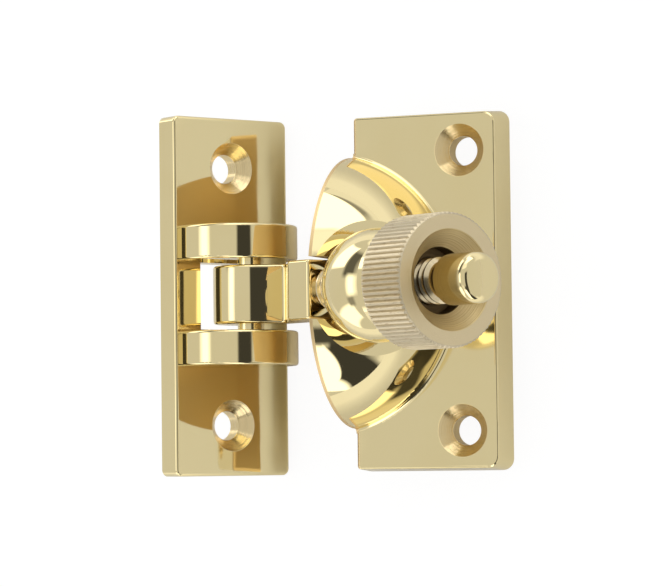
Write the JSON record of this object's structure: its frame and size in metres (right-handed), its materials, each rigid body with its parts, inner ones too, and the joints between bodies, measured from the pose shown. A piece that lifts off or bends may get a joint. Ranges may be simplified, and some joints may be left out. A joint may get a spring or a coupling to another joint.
{
  "type": "sash fastener",
  "caption": "Screw-down brass sash fastener: hinge plate, swing arm with knurled nut on a threaded stud, and a separate domed keep slotted and dished to take them.",
  "frame": {"origin": "middle of the keep's back face, in line with the middle of its front face", "axes": "+X from the hinge side to the keep's far edge, +Y along the hinge pin, +Z out of the keep's face, away from the sash"},
  "size_m": [0.0694, 0.0614, 0.0493],
  "materials": {
    "polished_brass": "mirror polished cast brass",
    "turned_brass": "bright turned brass",
    "knurled_brass": "satin turned and knurled brass with a polished ball nose"
  },
  "bodies": {
    "keep": {"keep": "polished_brass"},
    "arm": {"swing_arm": "polished_brass", "threaded_stud": "turned_brass"},
    "hinge_plate": {"hinge_plate": "polished_brass", "hinge_pin": "polished_brass"},
    "nut": {"knurled_nut": "knurled_brass"}
  },
  "joints": [
    {"name": "arm_swing", "type": "hinge", "parent": "keep", "child": "arm", "pos_m": [-0.03, 0, 0.0098], "axis": [0, -1, 0], "range_deg": [0, 100]},
    {"name": "plate_swing", "type": "hinge", "parent": "arm", "child": "hinge_plate", "pos_m": [-0.03, 0, 0.0098], "axis": [0, -1, 0], "range_deg": [-85, 85]},
    {"name": "nut_travel", "type": "slide", "parent": "arm", "child": "nut", "axis": [0.8829, 0, 0.4695], "range_m": [-0.0022, 0.005]}
  ]
}
